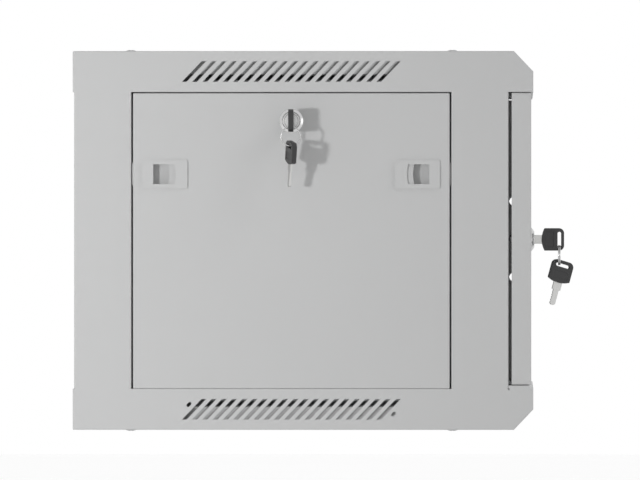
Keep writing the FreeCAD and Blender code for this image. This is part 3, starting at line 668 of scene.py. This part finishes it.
def split_ring_grid(radius: float, wire: float, columns: int = 14) -> np.ndarray:
    """Wind a split ring: two flat turns side by side, with a short step from one to the other.

    Centre line = (radius cos a, radius sin a, offset(a)), with a going from -1.9 pi to 1.9 pi. The offset is minus
    one wire radius before a = 0 and plus one after it, joined by the smooth step 3 t^2 - 2 t^3. Each section is a
    circle of the wire's radius across the line, which shrinks at both ends of the wire.

    Args:
        radius: radius of the centre line.
        wire: the wire's radius.
        columns: points round the wire.

    Returns:
        A grid of rows along the wire x columns round it.
    """
    last, rows, step_angle, taper_angle, tip = 1.9 * math.pi, 190, 0.6, 0.06, 0.55
    angle = np.linspace(-last, last, rows)[:, None]
    t = np.clip(angle / step_angle + 0.5, 0, 1)
    offset = wire * (2 * (3 * t ** 2 - 2 * t ** 3) - 1)
    round_angle = around(columns)
    end = np.clip((last - np.abs(angle)) / taper_angle, tip, 1)
    reach = radius + wire * end * np.cos(round_angle)
    lift = offset + wire * end * np.sin(round_angle)
    return np.stack([reach * np.cos(angle), reach * np.sin(angle), lift], axis=-1)


def softened(node: bpy.types.Object, name: str, radius: float, material: bpy.types.Material,
             segments: int = 3) -> bpy.types.Object:
    """Copy a frame piece, merge its triangles into faces and round its edges.

    Args:
        node: the frame piece.
        name: name of the copy.
        radius: radius of the rounded edges.
        material: its finish.
        segments: faces across each rounded edge.

    Returns:
        The copy, linked to the scene.
    """
    same_point, flat_degrees, edge_degrees, sharp_degrees = 0.02 * MM, 0.6, 35, 50
    mesh = bpy.data.meshes.new(name)
    work = bmesh.new()
    work.from_mesh(node.data)
    bmesh.ops.remove_doubles(work, verts=work.verts, dist=same_point)
    bmesh.ops.dissolve_limit(work, angle_limit=math.radians(flat_degrees), verts=work.verts, edges=work.edges)
    for face in work.faces:
        face.smooth = True
        face.material_index = 0
    work.to_mesh(mesh)
    work.free()
    for layer in [a.name for a in mesh.attributes if "custom_normal" in a.name]:
        mesh.attributes.remove(mesh.attributes[layer])
    mesh.materials.append(material)
    piece = bpy.data.objects.new(name, mesh)
    bpy.context.scene.collection.objects.link(piece)
    bevel = piece.modifiers.new("edges", "BEVEL")
    bevel.width, bevel.segments = radius, segments
    bevel.limit_method, bevel.angle_limit = "ANGLE", math.radians(edge_degrees)
    bevel.harden_normals = False
    bevel.use_clamp_overlap = True
    mesh.set_sharp_from_angle(angle=math.radians(sharp_degrees))
    return piece


# Sub-assemblies


class Workshop:
    """Hands out the finishes and puts made pieces on their bodies."""

    def __init__(self, frame: dict, finishes: Finishes) -> None:
        """Build every material once.

        Args:
            finishes: the finishes of the cabinet.
        """
        groups = GroupLibrary.build()
        self.nodes: dict[str, bpy.types.Object] = frame["nodes"]
        self.slots = {row["node"]: row["material_slot"] for row in frame["record"]["subparts"]}
        self.body = {node: body for body, nodes in frame["record"]["behaviour"]["bodies"].items() for node in nodes}
        self.materials = {name: getattr(finishes, name).material(groups) for name in finishes.__dataclass_fields__}

    def paint(self, node: str, finish: str) -> None:
        """Give a frame piece a finish.

        Args:
            node: the frame piece's name.
            finish: the finish's name.
        """
        for place in self.nodes[node].material_slots:
            place.material = self.materials[finish]

    def fit(self, piece: bpy.types.Object, node: str) -> None:
        """Let a made piece stand for a frame piece and move with its body.

        Args:
            piece: the made piece.
            node: the frame piece that it stands for.
        """
        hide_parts(node)
        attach(piece, self.body[node])
        LOG.info("%s stands for %s", piece.name, node)

    def soften(self, node: str, finish: str, radius: float, segments: int = 3) -> None:
        """Replace a frame piece by its copy with rounded edges.

        Args:
            node: the frame piece.
            finish: the finish's name.
            radius: radius of the rounded edges.
            segments: faces across each rounded edge.
        """
        piece = softened(self.nodes[node], node + "_rounded", radius, self.materials[finish], segments)
        self.fit(piece, node)


@dataclass
class SheetMetal:
    """The coated sheets, which keep the frame's own shapes."""

    outer: tuple[str, ...] = ("roof_cap", "base_cap", "left_rear_post", "right_rear_post", "left_front_post",
                              "right_front_post", "left_panel", "right_panel", "door_frame", "back_panel",
                              "roof_entry_cover", "base_entry_cover")
    bars: tuple[str, ...] = ("left_roof_bar", "right_roof_bar", "left_base_bar", "right_base_bar")
    rails: tuple[str, ...] = ("left_front_rail", "right_front_rail", "left_rear_rail", "right_rear_rail")

    def dress(self, shop: Workshop) -> None:
        """Coat every sheet.

        Args:
            shop: the workshop with the finishes and the frame's pieces.
        """
        # The bars get the paler coat. Its extra lightness is painted light through the vent slots, not a different
        # paint.
        for names, finish in ((self.outer, "coat"), (self.bars, "bar_coat"), (self.rails, "rail_coat")):
            for name in names:
                shop.paint(name, finish)
                LOG.info("%s gets %s", name, finish)


@dataclass
class Fasteners:
    """The screws, bolts and the earth stud, with recesses, hexagons and threads."""

    dome_radius: float = 6.0 * MM
    dome_rise: float = 1.6 * MM
    back_radius: float = 4.0 * MM
    back_rise: float = 1.2 * MM
    cross_share: float = 0.5
    shank: float = 3.0 * MM
    shank_length: float = 9.0 * MM
    shank_columns: int = 24
    pitch: float = 1.0 * MM
    thread_depth: float = 0.45 * MM
    bolt_corner: float = 5.2 * MM
    bolt_grip: float = 3.5 * MM
    bolt_end: float = 2.0 * MM
    hexagon: float = 4.5 * MM
    bolt_head: float = 4.0 * MM
    nut: float = 5.0 * MM
    flange: float = 3.0 * MM
    flange_radius: float = 6.2 * MM
    flange_middle: float = 0.1 * MM
    flange_columns: int = 48
    stud_columns: int = 28
    small_head: float = 3.6 * MM
    small_rise: float = 1.6 * MM
    small_cross_share: float = 0.6
    small_shank: float = 2.0 * MM
    small_length: float = 2.8 * MM
    small_depth: float = 0.3 * MM
    small_pitch: float = 0.7 * MM
    small_columns: int = 20

    def thread(self, start: float, end: float, columns: int) -> np.ndarray:
        """Wind the thread of the common shank between two heights, with so many columns."""
        return thread_grid(self.shank, self.thread_depth, self.pitch, start, end, columns)

    def screw(self, shell: Shell, seat: Seat, radius: float, rise: float) -> None:
        """Add a dome screw with a cross recess and a threaded shank.

        Args:
            shell: the shell to add to.
            seat: where the head sits.
            radius: the head's radius.
            rise: its height.
        """
        shell.add(seat.place(cross_dome_grid(radius, rise, radius * self.cross_share)))
        shell.add(seat.place(self.thread(0.0, -self.shank_length, self.shank_columns)))

    def roof_screws(self, shop: Workshop) -> None:
        """Make the dome screws of roof and base.

        Args:
            shop: the workshop with the finishes and the frame's pieces.
        """
        low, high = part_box("roof_screws")
        shell = Shell()
        for x in (low.x + self.dome_radius, high.x - self.dome_radius):
            for y in (low.y + self.dome_radius, high.y - self.dome_radius):
                for end, z in ((1, high.z - self.dome_rise), (-1, low.z + self.dome_rise)):
                    self.screw(shell, Seat((x, y, z), (0, 0, end), (0, 1, 0)), self.dome_radius, self.dome_rise)
        shop.fit(shell.piece("dome_screws", shop.materials["screw_coat"]), "roof_screws")

    def back_screws(self, shop: Workshop) -> None:
        """Make the screws of the back panel.

        Args:
            shop: the workshop with the finishes and the frame's pieces.
        """
        low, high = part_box("back_screws")
        shell = Shell()
        for x in (low.x + self.back_radius, high.x - self.back_radius):
            for z in (low.z + self.back_radius, 0.0, high.z - self.back_radius):
                seat = Seat((x, high.y - self.back_rise, z), (0, 1, 0))
                self.screw(shell, seat, self.back_radius, self.back_rise)
        shop.fit(shell.piece("back_panel_screws", shop.materials["screw_coat"]), "back_screws")

    def rail_bolts(self, shop: Workshop) -> None:
        """Make the hexagon bolts and nuts of the rails.

        Args:
            shop: the workshop with the finishes and the frame's pieces.
        """
        low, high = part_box("rail_bolts")
        shell = Shell()
        for x in (low.x + self.bolt_corner, high.x - self.bolt_corner):
            for y in (low.y + self.bolt_corner, high.y - self.bolt_corner):
                for end, tip in ((1, high.z), (-1, low.z)):
                    nut_top = tip - end * self.bolt_end
                    head_top = nut_top - end * (self.nut + self.bolt_grip + self.bolt_head)
                    seat = Seat((x, y, head_top), (0, 0, end), (0, 1, 0))
                    length = abs(tip - head_top)
                    nut_foot = length - self.bolt_end - self.nut
                    shell.add(seat.place(hexagon_grid(self.hexagon, self.bolt_head, 0.0)))
                    shell.add(seat.place(hexagon_grid(self.hexagon, nut_foot, length - self.bolt_end)))
                    shell.add(seat.place(self.thread(self.bolt_head, length, self.shank_columns)))
        shop.fit(shell.piece("rail_hexagon_bolts", shop.materials["zinc"]), "rail_bolts")

    def cover_screws(self, shop: Workshop) -> None:
        """Make the small screws of the cable entry covers.

        Args:
            shop: the workshop with the finishes and the frame's pieces.
        """
        low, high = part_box("cover_screws")
        shell = Shell()
        head = cross_dome_grid(self.small_head, self.small_rise, self.small_head * self.small_cross_share)
        shank = thread_grid(self.small_shank, self.small_depth, self.small_pitch, 0.0, -self.small_length,
                            self.small_columns)
        for x in (low.x + self.small_head, high.x - self.small_head):
            for y in (low.y + self.small_head, high.y - self.small_head):
                for end, tip in ((1, high.z), (-1, low.z)):
                    seat = Seat((x, y, tip - end * self.small_length), (0, 0, -end), (0, 1, 0))
                    shell.add(seat.place(head))
                    shell.add(seat.place(shank))
        shop.fit(shell.piece("cover_cross_screws", shop.materials["zinc"]), "cover_screws")

    def earth_stud(self, shop: Workshop) -> None:
        """Make the earth stud with its flange and nut.

        Args:
            shop: the workshop with the finishes and the frame's pieces.
        """
        low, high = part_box("earth_stud")
        middle = (low + high) / 2
        seat = Seat((middle.x, middle.y, low.z), (0, 0, 1), (0, 1, 0))
        shell = Shell()
        shell.add(seat.place(self.thread(self.flange, high.z - low.z, self.stud_columns)))
        shell.add(seat.place(hexagon_grid(self.hexagon, self.flange, self.flange + self.nut)))
        inner, outer, top = self.flange_middle, self.flange_radius, self.flange
        flange = rounded_profile([(inner, 0), (outer, 0), (outer, top), (inner, top)])
        shell.add(seat.place(turned_grid(flange, self.flange_columns)))
        shop.fit(shell.piece("earth_stud_threaded", shop.materials["zinc"]), "earth_stud")

    def dress(self, shop: Workshop) -> None:
        """Make every fastener."""
        for make in (self.roof_screws, self.back_screws, self.rail_bolts, self.cover_screws, self.earth_stud):
            make(shop)


@dataclass
class Lock:
    """One cam lock: a turned case with a sloped rim, a thread and a nut, and its barrel and cam."""

    prefix: str
    out: tuple[float, float, float]
    head: float = 3.0 * MM
    rim: float = 11.7 * MM
    thread_radius: float = 9.0 * MM
    thread_depth: float = 0.5 * MM
    pitch: float = 1.0 * MM
    bore: float = 6.56 * MM
    tail: float = 24.0 * MM
    under_rim: float = 0.2 * MM
    columns: int = 72
    sharp_degrees: float = 30.0
    nut_edge: float = 0.35 * MM
    barrel_edge: float = 0.25 * MM
    cam_edge: float = 0.3 * MM

    def seat(self) -> Seat:
        """Work out the seat from the box of the case and the height of its head.

        Returns:
            The lock's place on its sheet.
        """
        low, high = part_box(self.prefix + "lock_body")
        middle = (low + high) / 2
        for axis, sign in enumerate(self.out):
            if sign:
                middle[axis] = high[axis] - self.head if sign > 0 else low[axis] + self.head
        return Seat(tuple(middle), self.out)

    def case_profile(self) -> np.ndarray:
        """Draw the case: up the sloped rim, down the groove, over the face and into the bore.

        Returns:
            Rows of radius and height.
        """
        h = self.head
        foot = [(self.thread_radius, -self.under_rim), (self.rim, 0.0), (self.rim, 0.25 * MM)]
        slope = [(self.rim - 0.2 * MM, 0.45 * MM), (9.1 * MM, 2.35 * MM), (8.95 * MM, 2.3 * MM)]
        groove = [(8.9 * MM, 0.4 * MM), (8.25 * MM, 0.4 * MM)]
        face = [(8.2 * MM, h - 0.3 * MM), (7.95 * MM, h), (6.9 * MM, h), (self.bore, h - 0.25 * MM), (self.bore, 0.0)]
        return rounded_profile(foot + slope + groove + face)

    def case(self, shop: Workshop) -> None:
        """Turn the case: the rim and face are one closed profile round the axis, the thread is wound on it.

        Args:
            shop: the workshop with the finishes and the frame's pieces.
        """
        shell = Shell()
        rows = turned_grid(self.case_profile(), self.columns)
        bore_end = turned_grid(np.array([[self.bore, -self.tail]]), self.columns)
        wound = thread_grid(self.thread_radius, self.thread_depth, self.pitch, -self.tail, -self.under_rim,
                            self.columns)
        shell.add(self.seat().place(np.concatenate([rows, bore_end, wound])), closed=True)
        case = shell.piece(self.prefix + "lock_case", shop.materials["case"], self.sharp_degrees)
        shop.fit(case, self.prefix + "lock_body")

    def dress(self, shop: Workshop) -> None:
        """Make the case and finish the nut, the barrel and the cam.

        Args:
            shop: the workshop with the finishes and the frame's pieces.
        """
        self.case(shop)
        shop.soften(self.prefix + "lock_nut", "nickel", self.nut_edge)
        shop.soften(self.prefix + "lock_barrel", "core", self.barrel_edge)
        shop.soften(self.prefix + "lock_cam", "nickel", self.cam_edge)


@dataclass
class Keys:
    """A key in its lock, the split ring and the spare key that hangs on it."""

    prefix: str
    out: tuple[float, float, float]
    ring_wire: float = 0.62 * MM
    frame_wire: float = 0.75 * MM
    bow_edge: float = 0.4 * MM
    bow_segments: int = 4
    blade_edge: float = 0.22 * MM

    def ring(self, shop: Workshop) -> None:
        """Wind the split ring where the frame holds a plain one, with its step at the side.

        Args:
            shop: the workshop with the finishes and the frame's pieces.
        """
        low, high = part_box(self.prefix + "key_ring")
        seat = Seat(tuple((low + high) / 2), self.out)
        radius = (high.z - low.z) / 2 - self.frame_wire
        shell = Shell()
        shell.add(seat.place(split_ring_grid(radius, self.ring_wire)))
        shop.fit(shell.piece(self.prefix + "split_ring", shop.materials["wire"]), self.prefix + "key_ring")

    def dress(self, shop: Workshop) -> None:
        """Wind the ring and round the edges of both keys.

        Args:
            shop: the workshop with the finishes and the frame's pieces.
        """
        self.ring(shop)
        for node in ("key_bow", "spare_bow"):
            shop.soften(self.prefix + node, "key_black", self.bow_edge, self.bow_segments)
        for node in ("key_blade", "spare_blade"):
            shop.soften(self.prefix + node, "blade", self.blade_edge)


@dataclass
class Door:
    """The glazed door without its sheet: glass, gasket, clips and pins."""

    clip_edge: float = 0.25 * MM
    pin_edge: float = 0.5 * MM

    def dress(self, shop: Workshop) -> None:
        """Finish the pieces of the door.

        Args:
            shop: the workshop with the finishes and the frame's pieces.
        """
        shop.paint("door_glass", "glass")
        shop.paint("glass_gasket", "foam")
        shop.soften("glass_clips", "zinc", self.clip_edge)
        shop.soften("door_pins", "nickel", self.pin_edge)


@dataclass
class PanelLatches:
    """The moulded housings and sliders of one side panel. The sliders keep the frame's own shapes."""

    side: Side
    housing_edge: float = 0.3 * MM

    def dress(self, shop: Workshop) -> None:
        """Round the edges of the housings and colour the sliders.

        Args:
            shop: the workshop with the finishes and the frame's pieces.
        """
        shop.soften(self.side.prefix + "latch_housings", "latch", self.housing_edge)
        for name in ("rear_latch", "front_latch"):
            shop.paint(self.side.prefix + name, "latch_slide")


# Studio


@dataclass(frozen=True)
class Lamp:
    """A round or oval lamp: where it hangs, what it faces, its width and height, and its power."""

    name: str
    place: tuple[float, float, float]
    aim: tuple[float, float, float]
    width: float
    height: float
    watts: float


@dataclass
class Studio:
    """A pale floor, a soft sky, a key lamp near the wall, a glint from the front and a wide fill."""

    lens_mm: float = 641.28
    sensor_mm: float = 36.0
    far: float = 200.0
    stand: tuple[float, float, float] = (-11.433, -0.4297, 0.0004)
    aim: tuple[float, float, float] = (-0.3, -0.2417, 0.0004)
    floor_z: float = -0.44
    floor_radius: float = 12.0
    floor_columns: int = 96
    floor_grey: float = 0.86
    floor_mottle: float = 0.02
    floor_waves: float = 3.0
    floor_glow: float = 0.48
    sky: float = 0.39
    key: Lamp = Lamp("key_lamp", (-1.5, 0.703, 0.06), (-0.3, -0.214, 0.06), 0.13, 0.13, 8.5)
    glint: Lamp = Lamp("front_glint", (-0.56, -1.69, 0.06), (-0.3, -0.214, 0.06), 0.24, 0.96, 1.35)
    fill: float = 0.7
    fill_from: tuple[float, float, float] = (-0.35, -1.0, 0.9)
    fill_degrees: float = 30.0

    def camera(self) -> None:
        """Set the camera on the left side, in line with the gap at the door, so that it looks through its holes."""
        data = bpy.data.cameras.new("photo_camera")
        data.lens, data.sensor_width, data.clip_end = self.lens_mm, self.sensor_mm, self.far
        camera = bpy.data.objects.new("photo_camera", data)
        camera.location = self.stand
        camera.rotation_euler = (Vector(self.aim) - Vector(self.stand)).to_track_quat("-Z", "Y").to_euler()
        bpy.context.scene.collection.objects.link(camera)
        bpy.context.scene.camera = camera

    def seen_ray(self, tree: bpy.types.NodeTree) -> bpy.types.NodeSocket:
        """Tell rays that end in the picture from rays that only carry light.

        Args:
            tree: the node tree to add to.

        Returns:
            1 for rays of the camera, of glossy surfaces and through glass, otherwise 0.
        """
        path = tree.nodes.new("ShaderNodeLightPath")
        both = math_node(tree, "MAXIMUM", path.outputs["Is Camera Ray"], path.outputs["Is Glossy Ray"])
        return math_node(tree, "MAXIMUM", both, path.outputs["Is Transmission Ray"])

    def world(self) -> None:
        """Make the sky white to look at, and softer as a light."""
        world = bpy.data.worlds.new("pale_sky")
        world.use_nodes = True
        tree = world.node_tree
        background = tree.nodes["Background"]
        background.inputs["Color"].default_value = (1.0, 1.0, 1.0, 1.0)
        seen = self.seen_ray(tree)
        strength = math_node(tree, "MULTIPLY_ADD", seen, 1.0 - self.sky, self.sky)
        tree.links.new(strength, background.inputs["Strength"])
        bpy.context.scene.world = world

    def floor(self) -> None:
        """Lay a pale round floor below the cabinet that shows its shadow."""
        angle = around(self.floor_columns)[:, None]
        rim = np.concatenate([np.cos(angle), np.sin(angle), 0 * angle], axis=1) * self.floor_radius
        points = rim + np.array([0.0, 0.0, self.floor_z])
        mesh = bpy.data.meshes.new("floor")
        mesh.from_pydata(points.tolist(), [], [list(range(self.floor_columns))])
        material, shader = blank_material("floor_white")
        tree = material.node_tree
        place = tree.nodes.new("ShaderNodeTexCoord").outputs["Object"]
        mottle = noise(tree, place, self.floor_waves, detail=2.0)
        shade = math_node(tree, "MULTIPLY_ADD", mottle, self.floor_mottle, self.floor_grey)
        tree.links.new(shade, shader.inputs["Base Color"])
        shader.inputs["Roughness"].default_value = 0.9
        shader.inputs["Specular IOR Level"].default_value = 0.1
        shader.inputs["Emission Color"].default_value = (1.0, 1.0, 1.0, 1.0)
        glow = math_node(tree, "MULTIPLY", self.seen_ray(tree), self.floor_glow)
        tree.links.new(glow, shader.inputs["Emission Strength"])
        mesh.materials.append(material)
        floor = bpy.data.objects.new("floor", mesh)
        bpy.context.scene.collection.objects.link(floor)

    def near_lamp(self, lamp: Lamp) -> None:
        """Hang a lamp that faces the point it is aimed at.

        Args:
            lamp: its name, place, aim, sizes and power.
        """
        data = bpy.data.lights.new(lamp.name, "AREA")
        data.shape, data.size, data.size_y, data.energy = "ELLIPSE", lamp.width, lamp.height, lamp.watts
        hung = bpy.data.objects.new(lamp.name, data)
        hung.location = lamp.place
        away = Vector(lamp.place) - Vector(lamp.aim)
        hung.rotation_euler = away.to_track_quat("Z", "Y").to_euler()
        bpy.context.scene.collection.objects.link(hung)

    def fill_lamp(self) -> None:
        """Hang a wide distant lamp that lights the front and the roof."""
        data = bpy.data.lights.new("front_fill", "SUN")
        data.energy, data.angle = self.fill, math.radians(self.fill_degrees)
        lamp = bpy.data.objects.new("front_fill", data)
        lamp.visible_glossy = False
        lamp.rotation_euler = Vector(self.fill_from).to_track_quat("Z", "Y").to_euler()
        bpy.context.scene.collection.objects.link(lamp)

    def build(self) -> None:
        """Set up the whole studio."""
        bpy.context.scene.view_settings.view_transform = "Standard"
        self.camera()
        self.world()
        self.floor()
        for lamp in (self.key, self.glint):
            self.near_lamp(lamp)
        self.fill_lamp()


def main() -> None:
    """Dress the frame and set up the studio."""
    logging.basicConfig(level=logging.INFO, format="%(name)s: %(message)s")
    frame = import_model()
    shop = Workshop(frame, Finishes())
    SheetMetal().dress(shop)
    Fasteners().dress(shop)
    Door().dress(shop)
    for prefix, out in (("door_", (0.0, -1.0, 0.0)), ("left_", (-1.0, 0.0, 0.0)), ("right_", (1.0, 0.0, 0.0))):
        Lock(prefix, out).dress(shop)
        if prefix != "right_":
            Keys(prefix, out).dress(shop)
    for side in Side:
        PanelLatches(side).dress(shop)
    Studio().build()


if __name__ == "__main__":
    main()
